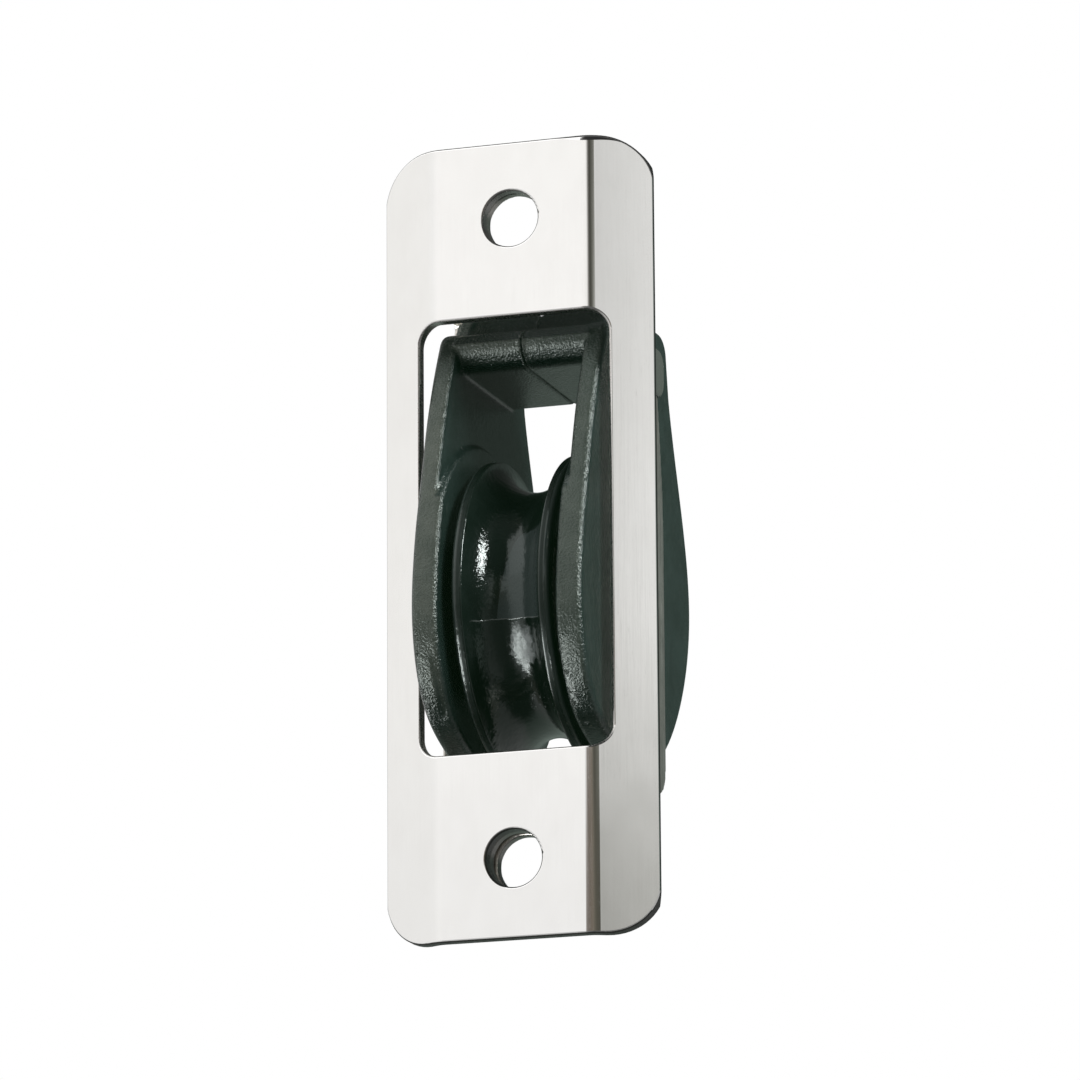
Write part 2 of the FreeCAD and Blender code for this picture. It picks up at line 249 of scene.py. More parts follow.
# painted light: a faint green glow emitted by the surface, which keeps deep shadows from going
# dead black
GREEN_GLOW_FILL = {"Emission Color": (0.30, 1.0, 0.42), "Emission Strength": 0.0034}


# =====================================================================
# materials: one function each
# =====================================================================
def polished(net):
    """Bright rolled sheet: faint upright grain, slight waviness, a few hairline marks."""
    bright, smeared, grained = (0.905, 0.900, 0.888), (0.880, 0.873, 0.860), (0.83, 0.822, 0.81)
    place = net.place()
    grain = net.noise(place.scaled((9.0, 9.0, 0.12)), detail=5.0)
    fine = net.noise(place.scaled((26.0, 26.0, 0.5)), detail=3.0, rough=0.5)
    wave = net.noise(place.scaled((0.16, 0.16, 0.07)), detail=2.0, rough=0.4)
    smear = net.noise(place.scaled((0.35, 0.35, 0.22)))
    hair = net.noise(place.scaled((3.0, 3.0, 0.35)), detail=2.0, rough=0.5, distort=1.2)
    hair = abs(hair - 0.5).falls(0.0, 0.006)
    tone = net.blend(smear.rises(0.3, 0.75), bright, smeared)
    tone = net.blend(grain.rises(0.35, 0.7) * 0.10, tone, grained)
    # painted reflection: the right flange's colour brightens towards its outer edge
    x = net.separate(place)[0]
    reflection_lift = x.remap((8.3, 12.4), to=(0.955, 1.075), kind="LINEAR")
    reflection_lift = net.fade(x.rises(7.9, 8.3), 1.0, reflection_lift)
    tone = tone.scaled(net.combine(reflection_lift, reflection_lift, reflection_lift))
    height = wave * 1.0 + grain * 0.004 + fine * 0.0015
    flat_normal = net.bump(height, distance=0.00003)
    # the rim rolls over in its last few tenths, more so high on the right flange
    x, y, z = net.separate(place)
    depth = edge_depth(net, x, z)
    flange = x.rises(4.2, 7.4) * x.falls(8.0, 11.2)
    width = 0.13 + flange * z.remap((20.0, 34.0), to=(0.05, 0.42))
    nearness = (1.0 - depth / width).at_least(0.0)
    roll = nearness ** 1.6 * -0.28 * width
    return {
        "Base Color": tone,
        "Metallic": 1.0,
        "Roughness": grain.remap((0.3, 0.75), to=(0.055, 0.105)) + hair * 0.08,
        "Normal": net.bump(roll, distance=0.001, normal=flat_normal),
    }


def sheet_edge(net):
    """The same sheet on its cut walls, with painted shade round the outline and in both end
    holes, most in the lower.
    """
    dull, clean = (0.52, 0.505, 0.48), (0.74, 0.725, 0.70)
    painted_rim_shade, painted_bore_shade = (0.030, 0.034, 0.030), (0.030, 0.036, 0.030)
    place = net.place()
    grain = net.noise(place.scaled((6.0, 1.2, 6.0)))
    colour = net.blend(grain, dull, clean)
    x, y, z = net.separate(place)
    # painted shade: the walls round the outline go near black and lose their metal
    rim = edge_depth(net, x, z).remap((1.0, 1.5), to=(0.93, 0.0))
    rim = rim * grain.remap((0.2, 0.8), to=(0.92, 1.0))
    colour = net.blend(rim, colour, painted_rim_shade)
    # painted shade in both end holes, the upper hole darkened less than the lower
    bore = hole_radius(net, x, z).falls(2.8, 3.0) * z.remap((-5.0, 5.0), to=(0.90, 0.45))
    colour = net.blend(bore, colour, painted_bore_shade)
    metal = 1.0 - rim.at_least(bore * 0.75)
    return {
        "Base Color": colour,
        "Metallic": metal,
        "Specular IOR Level": metal * 0.5,
        "Roughness": grain.remap((0.2, 0.8), to=(0.22, 0.40)),
        "Normal": net.bump(grain, distance=0.00002, strength=0.7),
    }


def satin(net):
    """Satin strip: upright rolling streaks and dull blots."""
    streak_dark, streak_pale = (0.60, 0.575, 0.53), (0.90, 0.875, 0.82)
    blotched, painted_bore_shade = (0.46, 0.435, 0.395), (0.035, 0.042, 0.036)
    place = net.place()
    streak = net.noise(place.scaled((5.0, 5.0, 0.16)), detail=5.0, rough=0.65)
    fine = net.noise(place.scaled((20.0, 20.0, 0.6)), detail=3.0)
    blot = net.noise(place, scale=0.35)
    colour = net.blend(streak.rises(0.3, 0.7), streak_dark, streak_pale)
    colour = net.blend(blot.remap((0.4, 0.75), to=(0.0, 0.5)), colour, blotched)
    # painted shade on the walls of the end holes, the lower more than the upper
    x, y, z = net.separate(place)
    normal = net.value("ShaderNodeNewGeometry", output="Normal")
    facing_y = abs(net.separate(normal)[1])
    bore = hole_radius(net, x, z).falls(2.78, 2.95) * facing_y.falls(0.35, 0.75)
    bore = bore * z.remap((-5.0, 5.0), to=(0.88, 0.40))
    colour = net.blend(bore * fine.remap((0.25, 0.7), to=(0.7, 1.0)), colour, painted_bore_shade)
    return {
        "Base Color": colour,
        "Metallic": 1.0,
        "Roughness": fine.remap((0.25, 0.75), to=(0.24, 0.42)),
        "Normal": net.bump(streak * 0.5 + fine * 0.35, distance=0.000018, strength=0.8),
    }


def moulded(net):
    """Dark moulded plastic: fine pebble, glints on the arrises, rubbed patches with painted
    highlight, painted light on front faces, painted shade on the crown.
    """
    side_dark, side_pale = (0.0088, 0.0168, 0.0145), (0.0155, 0.0270, 0.0242)
    face_dark, face_pale = (0.0330, 0.0450, 0.0360), (0.0580, 0.0740, 0.0610)
    crown_shade, boss_pale = (0.004, 0.008, 0.006), (0.075, 0.085, 0.074)
    fibre_pale, rub_and_glint_pale = (0.095, 0.108, 0.098), (0.14, 0.15, 0.14)
    place = net.place()
    pebble = net.noise(place, scale=4.6, detail=2.5, rough=0.55)
    fine = net.noise(place, scale=10.0, detail=2.0, rough=0.5)
    cloud = net.noise(place, scale=0.30, rough=0.62)
    fibre = net.noise(place.scaled((2.5, 2.5, 0.5)), rough=0.7, distort=0.6)
    geometry = net.node("ShaderNodeNewGeometry")
    normal_x, normal_y, normal_z = net.separate(Value(net, geometry.outputs["True Normal"]))
    # painted light: faces turned to the front get the paler face colour, the rest the darker
    # side colour
    front = (normal_y * -1.0).rises(0.55, 0.95) * normal_z.falls(0.30, 0.60)
    side = net.blend(cloud.rises(0.3, 0.72), side_dark, side_pale)
    # painted shade on the crown between the head's two sides: darkest colour and weakest
    # reflection
    middle_x, _, height_z = net.separate(place)
    crown = height_z.rises(20.2, 20.8) * abs(middle_x).falls(6.4, 7.0)
    front = front * (1.0 - crown)
    side = net.blend(crown * 0.85, side, crown_shade)
    face = net.blend(cloud.rises(0.3, 0.72), face_dark, face_pale)
    # the outside of the head bosses is paler
    x, y, z = net.separate(place)
    boss = abs(x).rises(8.42, 8.60) * y.rises(12.5, 13.5)
    side = net.blend(boss, side, boss_pale)
    # painted light: the left cheek's front is paler than the right's
    face = net.blend(middle_x.rises(-2.0, 2.0), face.scaled((1.38, 1.22, 1.23)),
                     face.scaled((0.97, 0.94, 0.94)))
    colour = net.blend(front, side, face)
    colour = net.blend(fibre.remap((0.58, 0.8), to=(0.0, 0.40)), colour, fibre_pale)
    edge = Value(net, geometry.outputs["Pointiness"]).rises(0.505, 0.545)
    # paler speckle along the arrises: partly rubbing, partly painted highlight
    rub_and_glint = edge * net.noise(place, scale=1.6, rough=0.7).rises(0.42, 0.62)
    colour = net.blend(rub_and_glint * 0.30, colour, rub_and_glint_pale)
    cell = net.value("ShaderNodeTexVoronoi", {"Vector": place, "Scale": 5.4},
                     output="Distance", feature="SMOOTH_F1").falls(0.0, 0.75)
    height = pebble * 0.75 + fine * 0.30 + cell * 0.28
    height = height * (0.95 + edge * 2.6)
    flank = abs(normal_x).remap((0.75, 0.95), to=(1.0, 0.66))
    return {
        "Base Color": colour,
        "Roughness": fine.remap((0.25, 0.75), to=(0.15, 0.26)) + front * 0.08,
        "IOR": 1.53,
        "Normal": net.bump(height, distance=0.000082),
        "Specular IOR Level": net.fade(crown, 0.5, 0.12) * flank,
        "Specular Tint": (0.90, 1.0, 0.95),
        **GREEN_GLOW_FILL,
    }


def wheel(net):
    """Glossy dark wheel: faint turning marks, a thin line and rubbed patches in its groove."""
    dark, cloudy = (0.0060, 0.0105, 0.0085), (0.0100, 0.0160, 0.0135)
    painted_reflection_grey, rim_sheen_grey = (0.048, 0.061, 0.061), (0.036, 0.047, 0.044)
    wear_pale, line_pale = (0.360, 0.390, 0.390), (0.20, 0.215, 0.21)
    place = net.place()
    x, y, z = net.separate(place)
    dy, dz, radius = from_axle(net, y, z)
    # angle up from the front of the wheel, degrees
    angle = net.math("ARCTAN2", dz, dy * -1.0) * (180.0 / math.pi)
    turning = net.noise(net.combine(x * 6.0, radius * 6.0, angle * 0.02))
    peel = net.noise(place, scale=2.2, detail=2.5, rough=0.5)
    fine = net.noise(place, scale=7.0, detail=2.0, rough=0.5)
    cloud = net.noise(place, scale=0.33)
    wobble = net.noise(place, scale=0.9, rough=0.65)
    off_centre = abs(x)
    groove = off_centre.falls(2.9, 3.4) * radius.rises(11.0, 11.3)
    # a fine raised line straight across the groove, 13.6 degrees below the front
    line_angle = angle + (wobble - 0.5) * 1.6
    line = abs(line_angle + 13.6).falls(0.0, 0.42) * groove
    # ragged oval patch under the line, right of the groove's middle
    patch_x = (x - 0.80) * (1 / 1.55)
    patch_angle = (angle + 26.0) * (1 / 12.5)
    spread = patch_x * patch_x + patch_angle * patch_angle
    ragged = net.noise(place, scale=1.1, detail=5.0, rough=0.7, distort=0.5)
    spread = spread + (ragged - 0.5) * 2.2
    patch = spread.falls(0.15, 0.95) * angle.falls(-14.8, -13.8)
    # slanting streaks lower down, in the groove's right half
    slant = (angle + x * -5.0) * 0.35
    streaks = net.noise(net.combine(x * 2.6, 0.0, slant), rough=0.65, distort=0.4)
    streaks = streaks.rises(0.58, 0.70) * abs(angle + 52.0).falls(5.0, 13.0)
    streaks = streaks * x.rises(-0.4, 0.6)
    # painted reflection: a paler grey zone above the line, its upper border curving down
    # towards the left
    curve = ((0.8 - x) * (1 / 0.9)).at_least(0.0) ** 1.8
    border = 27.5 - curve * 9.0 + (wobble - 0.5) * 2.0
    painted_reflection = (angle - border).falls(-1.0, 1.0) * angle.rises(-14.2, -13.2) * groove
    wear = patch * wobble.remap((0.30, 0.62), to=(0.35, 1.0))
    wear = wear.at_least(streaks * 0.8) * groove
    colour = net.blend(cloud.rises(0.3, 0.7), dark, cloudy)
    colour = net.blend(painted_reflection * fine.remap((0.2, 0.8), to=(0.75, 1.0)), colour, painted_reflection_grey)
    # painted sheen: paler grey on the outer rounds of the rims
    rim = off_centre.rises(4.20, 4.34) * radius.rises(13.9, 14.0)
    colour = net.blend(rim, colour, rim_sheen_grey)
    colour = net.blend(wear * 0.85, colour, wear_pale)
    colour = net.blend(line * 0.55, colour, line_pale)
    # the flats of the rims are duller than the groove
    flat = off_centre.rises(3.78, 3.88) * off_centre.falls(4.10, 4.20)
    flat = radius.rises(14.40, 14.46) * flat
    rough = turning.remap((0.3, 0.7), to=(0.095, 0.135)) + wear * 0.20 + painted_reflection * 0.05
    height = peel * 1.0 + turning * 0.03 + fine * 0.12 + line * 0.45 + wear * wobble * 0.6
    height = height * x.remap((-2.2, -0.8), to=(2.0, 1.0))
    return {
        "Base Color": colour,
        "Roughness": rough + flat * 0.30,
        "Specular IOR Level": net.fade(flat, 0.5, 0.28),
        "IOR": 1.50,
        "Normal": net.bump(height, distance=0.000024),
        "Specular Tint": (0.91, 1.0, 0.97),
        **GREEN_GLOW_FILL,
    }


def turned(tone, spot_tone, rough, metallic=0.0):
    """Small turned or moulded part: rings round the wheel's axis, faint spots."""
    def build(net):
        place = net.place()
        x, y, z = net.separate(place)
        radius = from_axle(net, y, z)[2]
        rings = net.noise(net.combine(x * 9.0, radius * 9.0, 0.0), rough=0.65)
        spots = net.noise(place, scale=2.0)
        return {
            "Base Color": net.blend(spots.rises(0.3, 0.7), tone, spot_tone),
            "Metallic": metallic,
            "Roughness": rings.remap((0.3, 0.7), to=(rough - 0.06, rough + 0.08)),
            "Normal": net.bump(rings + spots * 0.3, distance=0.00002, strength=0.8),
        }
    return build


BUILDERS = {
    "polished_stainless": polished,
    "sheet_edge": sheet_edge,
    "satin_stainless": satin,
    "cheek_plastic": moulded,
    "sheave_acetal": wheel,
    "cap_plastic": turned((0.014, 0.016, 0.017), (0.024, 0.027, 0.028), rough=0.38),
    "race_plastic": turned((0.022, 0.024, 0.026), (0.036, 0.039, 0.041), rough=0.40),
    "ball_plastic": turned((0.80, 0.78, 0.72), (0.72, 0.70, 0.64), rough=0.22),
    "washer_plastic": turned((0.74, 0.72, 0.66), (0.66, 0.64, 0.58), rough=0.45),
    "rivet_stainless": turned((0.72, 0.71, 0.69), (0.60, 0.59, 0.57), rough=0.26, metallic=1.0),
}
FINISHES = {name: surface(name, build) for name, build in BUILDERS.items()}


# =====================================================================
# mesh helpers
# =====================================================================
def link(obj):
    scene.collection.objects.link(obj)
    return obj


def new_piece(name, mesh, body, finish, replaced):
    """Object on a moving body, with one finish, standing in for a CAD node."""
    obj = link(bpy.data.objects.new(name, mesh))
    mesh.materials.clear()
    mesh.materials.append(FINISHES[finish])
    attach(obj, body)
    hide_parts(replaced)
    return obj


def mirrored(profile):
    """The other side's half of a (radius, x) profile, in running order."""
    return [(radius, -x) for radius, x in reversed(profile)]


def lathe(name, profile, segments, y, z):
    """(radius, x) profile turned about a line along X through y, z.

    A radius of 0 makes a pole; a profile without poles is closed into a ring.
    """
    bm = bmesh.new()
    rings = []
    for radius, x in profile:
        if radius < 1e-6:
            rings.append([bm.verts.new((x * MM, y * MM, z * MM))])
            continue
        turns = [2 * math.pi * i / segments for i in range(segments)]
        rings.append([bm.verts.new((x * MM, (y + radius * math.cos(turn)) * MM,
                                    (z + radius * math.sin(turn)) * MM)) for turn in turns])
    closed = len(rings[0]) > 1 and len(rings[-1]) > 1
    for a, b in zip(rings, rings[1:] + rings[:1] if closed else rings[1:]):
        for i in range(segments):
            j = (i + 1) % segments
            corners = (a[i % len(a)], b[i % len(b)], b[j % len(b)], a[j % len(a)])
            bm.faces.new(tuple(dict.fromkeys(corners)))    # a pole counts once
    bmesh.ops.recalc_face_normals(bm, faces=bm.faces)
    mesh = bpy.data.meshes.new(name)
    bm.to_mesh(mesh)
    bm.free()
    for face in mesh.polygons:
        face.use_smooth = True
    mesh.set_sharp_from_angle(angle=math.radians(28.0))
    return mesh


# where the cheeks meet along the crown each runs past the parting plane (metres)
CROWN_Z, CROWN_LAP = 0.0204, 0.00012


def softened(node, name, finish, voxel, passes, side=0):
    """The CAD solid with an even skin and softened arrises.

    side is 1 for the right cheek, -1 for the left and 0 for a piece without a lap.
    """
    mesh = frame["nodes"][node].data.copy()
    mesh.name = name
    if mesh.has_custom_normals and "custom_normal" in mesh.attributes:
        mesh.attributes.remove(mesh.attributes["custom_normal"])
    if side:
        for vert in mesh.vertices:
            if abs(vert.co.x) < 2e-6 and vert.co.z > CROWN_Z:
                vert.co.x = -CROWN_LAP * side
    obj = new_piece(name, mesh, "frame", finish, node)
    weld = obj.modifiers.new("weld", "WELD")
    weld.merge_threshold = 1e-6
    skin = obj.modifiers.new("skin", "REMESH")
    skin.mode = "VOXEL"
    skin.voxel_size = voxel * MM
    skin.adaptivity = 0.0
    skin.use_smooth_shade = True
    soften = obj.modifiers.new("soften", "SMOOTH")
    soften.factor = 0.5
    soften.iterations = passes


# =====================================================================
# wheel: groove, lips, rims, recessed sides, bore with two ball tracks
# =====================================================================
# right side from the rim in to the bore: radius, depth in from the side
WHEEL_SIDE = [
    (12.78, 0.00), (12.70, 0.02), (12.62, 0.09), (12.38, 0.36), (12.30, 0.43),
    (12.20, 0.45), (9.60, 0.45), (9.50, 0.43), (9.42, 0.35), (9.28, 0.16),
    (9.20, 0.11), (9.10, 0.10), (8.30, 0.10), (8.30, 0.90), (BORE_R, 0.90),
]


def wheel_profile():
    arc_centre_r = GROOVE_R + GROOVE_ARC_R
    lip_r = WHEEL_R - LIP_RISE
    lip_x = math.sqrt(GROOVE_ARC_R ** 2 - (arc_centre_r - lip_r) ** 2)
    half_arc = math.degrees(math.asin(lip_x / GROOVE_ARC_R))
    groove = []                                  # left lip to right lip
    for i in range(61):
        t = math.radians(-half_arc + 2 * half_arc * i / 60)
        groove.append((arc_centre_r - GROOVE_ARC_R * math.cos(t), GROOVE_ARC_R * math.sin(t)))
    right = []
    for i in range(1, 6):                        # inner round of the lip
        t = i / 5 * math.pi / 2
        right.append((lip_r + LIP_RISE * math.sin(t), lip_x + LIP_WIDTH * (1 - math.cos(t))))
    for i in range(9):                           # outer round of the rim
        t = i / 8 * math.pi / 2
        right.append((WHEEL_R - RIM_ROUND + RIM_ROUND * math.cos(t),
                      WHEEL_HALF_WIDTH - RIM_ROUND + RIM_ROUND * math.sin(t)))
    right += [(radius, WHEEL_HALF_WIDTH - depth) for radius, depth in WHEEL_SIDE]
    track_rise = BORE_R - TRACK_PITCH_R
    track_half_width = math.sqrt(TRACK_R ** 2 - track_rise ** 2)
    half_track = math.degrees(math.atan2(track_half_width, track_rise))
    for i in range(11):                          # ball track in the bore wall
        t = math.radians(half_track - 2 * half_track * i / 10)
        right.append((TRACK_PITCH_R + TRACK_R * math.cos(t), TRACK_X + TRACK_R * math.sin(t)))
    return groove + right + mirrored(right)


new_piece("grooved_wheel", lathe("grooved_wheel", wheel_profile(), 288, AXLE_Y, AXLE_Z),
          "sheave_wheel", "sheave_acetal", "sheave")

# =====================================================================
# bearing caps, with a shallow turned step
# =====================================================================
# radius, depth in from the outer face
CAP_PROFILE = [
    (5.55, 0.80), (8.30, 0.80), (8.30, 0.14), (8.26, 0.05), (8.17, 0.00), (7.30, 0.00),
    (7.22, 0.06), (6.60, 0.06), (6.52, 0.00), (5.69, 0.00), (5.59, 0.05), (5.55, 0.14),
]
for sign, side_name in ((1, "right"), (-1, "left")):
    profile = [(radius, sign * (CAP_FACE_X - depth)) for radius, depth in CAP_PROFILE]
    cap_name = side_name + "_cap_ring"
    new_piece(cap_name, lathe(cap_name, profile, 192, AXLE_Y, AXLE_Z),
              "sheave_wheel", "cap_plastic", side_name + "_bearing_cap")

# =====================================================================
# axle tube and head rivet
# =====================================================================
# right end of the tube, bore to outside: radius, x
AXLE_END = [
    (2.20, AXLE_FLARE_X * 0.985), (2.26, AXLE_FLARE_X + 0.12), (2.42, AXLE_FLARE_X + 0.32),
    (2.66, AXLE_END_X - 0.06), (2.78, AXLE_END_X - 0.015), (2.92, AXLE_END_X),
    (3.38, AXLE_END_X), (3.50, AXLE_END_X - 0.03), (3.52, AXLE_END_X - 0.08),
    (3.00, AXLE_FLARE_X), (3.00, AXLE_FLARE_X - 0.3),
]
new_piece("axle", lathe("axle", AXLE_END + mirrored(AXLE_END), 144, AXLE_Y, AXLE_Z),
          "frame", "rivet_stainless", "axle_tube")

# right end of the rivet, shank to slightly dished middle: radius, x
RIVET_END = [
    (1.10, 8.40), (1.10, 8.70), (1.28, 9.00), (1.29, 9.05),
    (1.24, 9.09), (1.10, 9.10), (0.60, 9.07), (0.00, 9.06),
]
new_piece("head_pin", lathe("head_pin", mirrored(RIVET_END) + RIVET_END, 96, HEAD_Y, HEAD_Z),
          "frame", "rivet_stainless", "head_rivet")

# =====================================================================
# cheeks and strap
# =====================================================================
softened("right_cheek", "right_cheek_moulding", "cheek_plastic", voxel=0.15, passes=4, side=1)
softened("left_cheek", "left_cheek_moulding", "cheek_plastic", voxel=0.15, passes=4, side=-1)
softened("mounting_strap", "wrapped_strap", "satin_stainless", voxel=0.14, passes=3)

# =====================================================================
# CAD nodes shown as they are
# =====================================================================
for node, finish in (
    ("cover_plate", "polished_stainless"),
    ("inner_race", "race_plastic"),
    ("left_ball_row", "ball_plastic"),
    ("right_ball_row", "ball_plastic"),
    ("left_thrust_washer", "washer_plastic"),
    ("right_thrust_washer", "washer_plastic"),
    ("head_sleeve", "rivet_stainless"),
):
    obj = frame["nodes"][node]
    obj.data.materials.clear()
    obj.data.materials.append(FINISHES[finish])


def finish_plate_walls(mesh):
    """Give the duller edge finish to every face that doesn't lie along the sheet."""
    mesh.materials.append(FINISHES["sheet_edge"])
    count = len(mesh.polygons)
    normals, centres = np.zeros(count * 3), np.zeros(count * 3)
    mesh.polygons.foreach_get("normal", normals)
    mesh.polygons.foreach_get("center", centres)
    normals = normals.reshape(-1, 3)
    x = centres.reshape(-1, 3)[:, 0]
    bent = np.clip((np.abs(x) * 1000 - BEND_START_X) / BEND_WIDTH, 0, 1)
    tilt = np.radians(bent * FLANGE_TILT)
    sheet = np.stack([np.sin(tilt) * np.sign(x), -np.cos(tilt), np.zeros(count)], 1)
    walls = np.abs((normals * sheet).sum(1)) < 0.93
    mesh.polygons.foreach_set("material_index", walls.astype(np.int32))


plate = frame["nodes"]["cover_plate"]
finish_plate_walls(plate.data)


# =====================================================================
# world: white to the camera, a studio of cards to everything else
# =====================================================================
def bend(degrees):
    """Azimuth of a stop in the part of the sky that a bend of the plate sweeps through."""
    return -18.25 + (degrees + 18.25) * 52.0 / 44.0


# Each band of sky: azimuth in degrees from the front towards +X, then grey or red, green, blue
LOW_BAND = [
    (-179, 0.105, 0.132, 0.119), (-160, 0.125, 0.150, 0.138), (-145, 0.40), (-122, 0.70),
    (-103, 0.80), (-84, 0.885, 0.88, 0.87), (bend(-45), 0.905, 0.90, 0.89),
    (bend(-30), 0.95, 0.945, 0.935), (bend(-15.2), 0.93, 0.925, 0.92),
    (bend(-12.0), 0.25, 0.225, 0.205), (bend(-8.5), 0.165, 0.142, 0.122),
    (bend(-3.0), 0.155, 0.130, 0.105), (bend(3.0), 0.175, 0.150, 0.120),
    (bend(10.0), 0.13, 0.120, 0.095), (bend(20.0), 0.062, 0.060, 0.048),
    (bend(23.0), 0.075, 0.075, 0.060), (bend(25.2), 0.36, 0.36, 0.335),
    (bend(27.5), 0.43, 0.43, 0.41), (43, 0.45, 0.45, 0.44), (55, 0.10, 0.13, 0.115),
    (100, 0.09, 0.125, 0.105), (120, 0.08, 0.115, 0.095), (150, 0.105, 0.132, 0.119),
]
HIGH_BAND = [
    (-179, 0.105, 0.132, 0.119), (-160, 0.125, 0.150, 0.138), (-145, 0.40), (-122, 0.72),
    (-103, 0.85), (-84, 0.935, 0.925, 0.905), (bend(-45), 0.96, 0.955, 0.945),
    (bend(-28), 1.03, 1.02, 1.01), (bend(-1.0), 1.02, 1.01, 0.99),
    (bend(2.5), 0.80, 0.79, 0.77), (bend(6.0), 0.20, 0.195, 0.18),
    (bend(10.5), 0.055, 0.055, 0.045), (bend(16.0), 0.10, 0.10, 0.085),
    (bend(20.0), 0.19, 0.19, 0.165), (bend(23.0), 0.52, 0.52, 0.495),
    (bend(25.5), 0.77, 0.77, 0.755), (bend(30), 0.81, 0.81, 0.80), (45, 0.35),
    (60, 0.09, 0.12, 0.105), (100, 0.09, 0.125, 0.105), (125, 0.08, 0.115, 0.095),
    (150, 0.105, 0.132, 0.119),
]
# a large white card up to the left, cut off sharply near the front
ABOVE = [
    (-179, 0.06), (-150, 0.07), (-125, 0.40), (-110, 1.10), (-40, 1.35), (-13, 1.30),
    (-9.5, 0.10), (0, 0.03), (52, 0.03), (66, 0.12), (100, 0.14), (125, 0.07), (160, 0.05),
]
BELOW = [
    (-179, 0.25, 0.30, 0.27), (-145, 0.25, 0.30, 0.27), (-118, 0.45), (-95, 0.85),
    (-40, 0.85), (-22, 0.70), (-13, 0.20), (10, 0.10), (38, 0.14), (62, 0.30), (90, 0.42),
    (120, 0.34), (140, 0.36), (163, 0.42), (179, 0.26, 0.305, 0.275),
]


def sky_band(net, turn, stops):
    """Colours round the horizon; turn runs 0 to 1 from azimuth -180 to 180."""
    node = net.node("ShaderNodeValToRGB", {0: turn})
    ramp = node.color_ramp
    ramp.interpolation = "LINEAR"
    while len(ramp.elements) > 1:
        ramp.elements.remove(ramp.elements[-1])
    for i, (azimuth, *colour) in enumerate(stops):
        position = (azimuth + 180.0) / 360.0
        element = ramp.elements.new(position) if i else ramp.elements[0]
        element.position = position
        element.color = (*(colour * 3 if len(colour) == 1 else colour), 1)
    return Value(net, node.outputs[0])


def angles(*degrees):
    return [math.radians(angle) for angle in degrees]


def build_world():
    world = bpy.data.worlds.new("studio")
    scene.world = world
    world.use_nodes = True
    net = Net(world.node_tree)
    x, y, z = net.separate(net.coords("Generated"))
    azimuth = net.math("ARCTAN2", x, y * -1.0)
    turn = net.math("MULTIPLY_ADD", azimuth, 1 / (2 * math.pi), 0.5)
    elevation = net.math("ARCSINE", z)
    low, high, above, below = [sky_band(net, turn, stops)
                               for stops in (LOW_BAND, HIGH_BAND, ABOVE, BELOW)]
    # near the front the low band gives way to the high one further up
    change = elevation.rises(*angles(10.2, 12.9))
    front_change = elevation.rises(*angles(12.0, 14.5))
    near_front = azimuth.rises(*angles(-16.6, -14.8)) * azimuth.falls(*angles(9, 17))
    band = net.blend(net.fade(near_front, change, front_change), low, high)
    # the right-hand card dims a little towards its top
    dim = elevation.remap(angles(13.8, 15.6), to=(0.0, 0.10))
    dim = dim * azimuth.rises(*angles(20, 26))
    band = net.blend(dim, band, (0.15, 0.15, 0.15))
    upper = net.blend(elevation.rises(*angles(23, 27)), band, above)
    upper = net.blend(elevation.rises(*angles(60, 66)), upper, (0.10, 0.10, 0.10))
    lower = net.blend(elevation.falls(*angles(-67, -50)), below, (0.05, 0.06, 0.055))
    sky = net.blend(elevation.falls(*angles(-2, 5)), upper, lower)
    studio = net.value("ShaderNodeBackground", {0: sky, 1: 1.0})
    white = net.value("ShaderNodeBackground", {0: (1, 1, 1), 1: 1.0})
    seen = net.value("ShaderNodeLightPath", output="Is Camera Ray")
    net.node("ShaderNodeOutputWorld",
             {0: net.value("ShaderNodeMixShader", {0: seen, 1: studio, 2: white})})


build_world()


# =====================================================================
# softboxes (metres, degrees, watts)
# =====================================================================
def direction(azimuth, elevation):
    """Unit vector; azimuth from -Y towards +X, both angles in radians."""
    return (math.sin(azimuth) * math.cos(elevation),
            -math.cos(azimuth) * math.cos(elevation), math.sin(elevation))


def softbox(name, azimuth, elevation, width, height, power):
    """A rectangular diffuser aimed at the middle of the block."""
    target, distance = Vector((0, 0.008, 0.0)), 0.9
    data = bpy.data.lights.new(name, "AREA")
    data.shape = "RECTANGLE"
    data.size, data.size_y = width, height
    data.energy = power
    obj = link(bpy.data.objects.new(name, data))
    obj.location = Vector(direction(*angles(azimuth, elevation))) * distance + target
    obj.rotation_mode = "QUATERNION"
    obj.rotation_quaternion = (target - obj.location).to_track_quat("-Z", "Y")
    obj.visible_camera = False


softbox("right_key", azimuth=78, elevation=32, width=0.46, height=0.28, power=11.5)
softbox("left_low", azimuth=-46, elevation=-36, width=0.66, height=0.44, power=10.5)
softbox("left_strip", azimuth=-92, elevation=-38, width=0.16, height=0.50, power=4.6)

# the mirror-like cover plate is lit by the world alone
lit = bpy.data.collections.new("lit_by_softboxes")
for obj in bpy.data.objects:
    if obj.type == "MESH" and obj is not plate:
        lit.objects.link(obj)
for obj in bpy.data.objects:
    if obj.type == "LIGHT":
        obj.light_linking.receiver_collection = lit


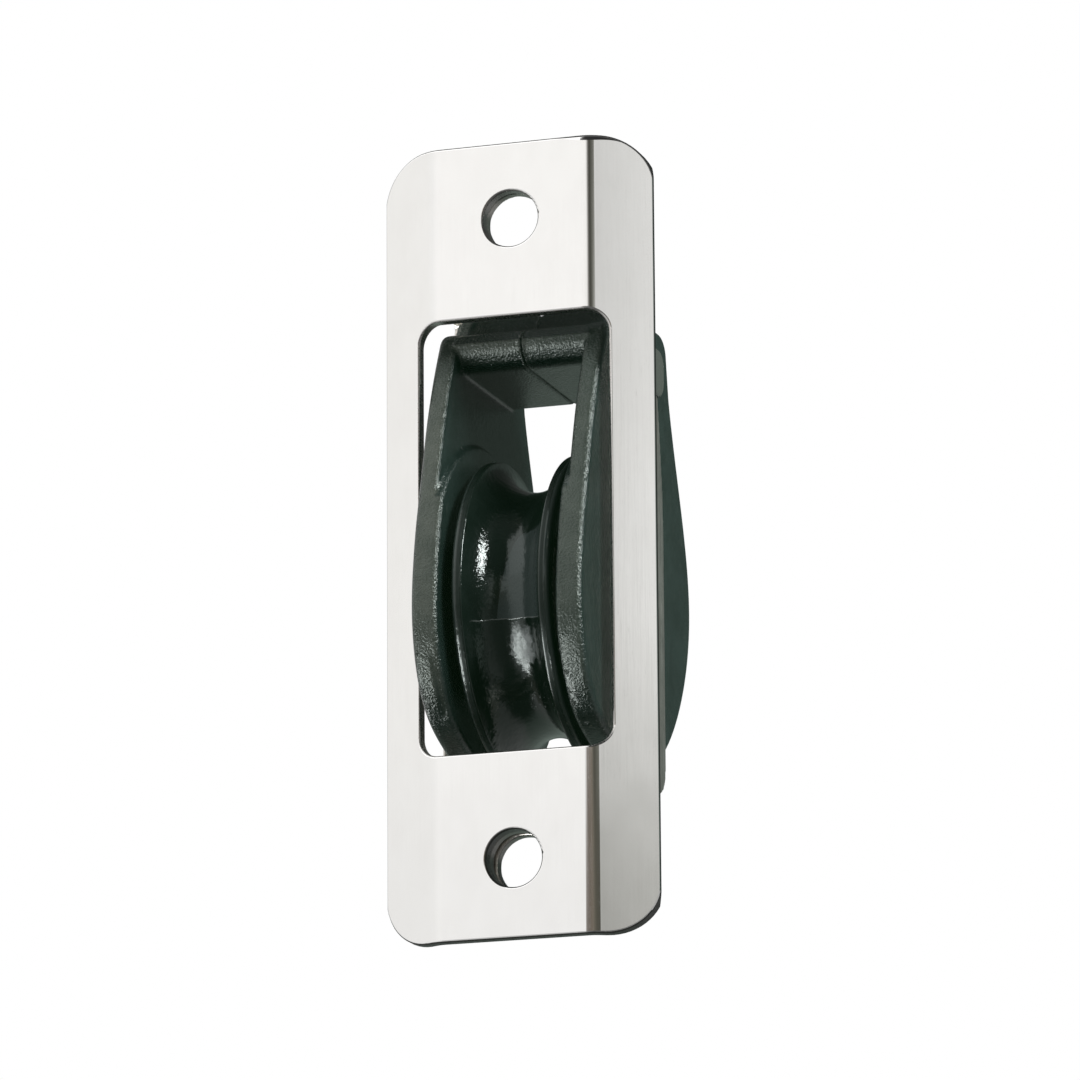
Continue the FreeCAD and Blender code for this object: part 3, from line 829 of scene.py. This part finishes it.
# =====================================================================
# pale floor under the block, clear from below (metres)
# =====================================================================
def floor_material():
    mat = bpy.data.materials.new("pale_floor")
    mat.use_nodes = True
    net = Net(mat.node_tree)
    place = net.coords("Object")
    mottle = net.noise(place, scale=6.0, detail=5.0)
    grit = net.noise(place, scale=180.0, detail=3.0)
    pale = net.value("ShaderNodeBsdfPrincipled", {
        "Base Color": net.blend(mottle, (0.80, 0.80, 0.79), (0.84, 0.84, 0.835)),
        "Roughness": mottle.remap((0.2, 0.8), to=(0.55, 0.75)),
        "Emission Color": (0.97, 0.97, 0.965),
        "Emission Strength": 0.42,
        "Normal": net.bump(grit, distance=0.0002, strength=0.3),
    })
    clear = net.value("ShaderNodeBsdfTransparent")
    underside = net.value("ShaderNodeNewGeometry", output="Backfacing")
    net.node("ShaderNodeOutputMaterial",
             {0: net.value("ShaderNodeMixShader", {0: underside, 1: pale, 2: clear})})
    return mat


bm = bmesh.new()
bmesh.ops.create_grid(bm, x_segments=40, y_segments=40, size=0.45)
floor_mesh = bpy.data.meshes.new("floor")
bm.to_mesh(floor_mesh)
bm.free()
floor_mesh.materials.append(floor_material())
floor = link(bpy.data.objects.new("floor", floor_mesh))
floor.location = (0, 0, -0.20)
floor.visible_glossy = False
floor.visible_diffuse = False

# =====================================================================
# camera: in front, to the right and below, looking up (metres)
# =====================================================================
AZIMUTH, ELEVATION, ROLL = angles(18.254, -13.583, -0.385)
DISTANCE = 0.6233
TARGET = np.array([0.002717, 0.0, -0.000763])

back = np.array(direction(AZIMUTH, ELEVATION))
level = np.array([math.cos(AZIMUTH), math.sin(AZIMUTH), 0.0])
upright = np.cross(back, level)
right = math.cos(ROLL) * level + math.sin(ROLL) * upright
up = -math.sin(ROLL) * level + math.cos(ROLL) * upright
location = TARGET + back * DISTANCE
camera_data = bpy.data.cameras.new("camera")
camera = link(bpy.data.objects.new("camera", camera_data))
rows = [tuple(row) for row in np.stack([right, up, back, location], 1)]
camera.matrix_world = Matrix((*rows, (0, 0, 0, 1)))
camera_data.sensor_width = 36.0
camera_data.lens = 228.27
camera_data.clip_start = 0.01
scene.camera = camera
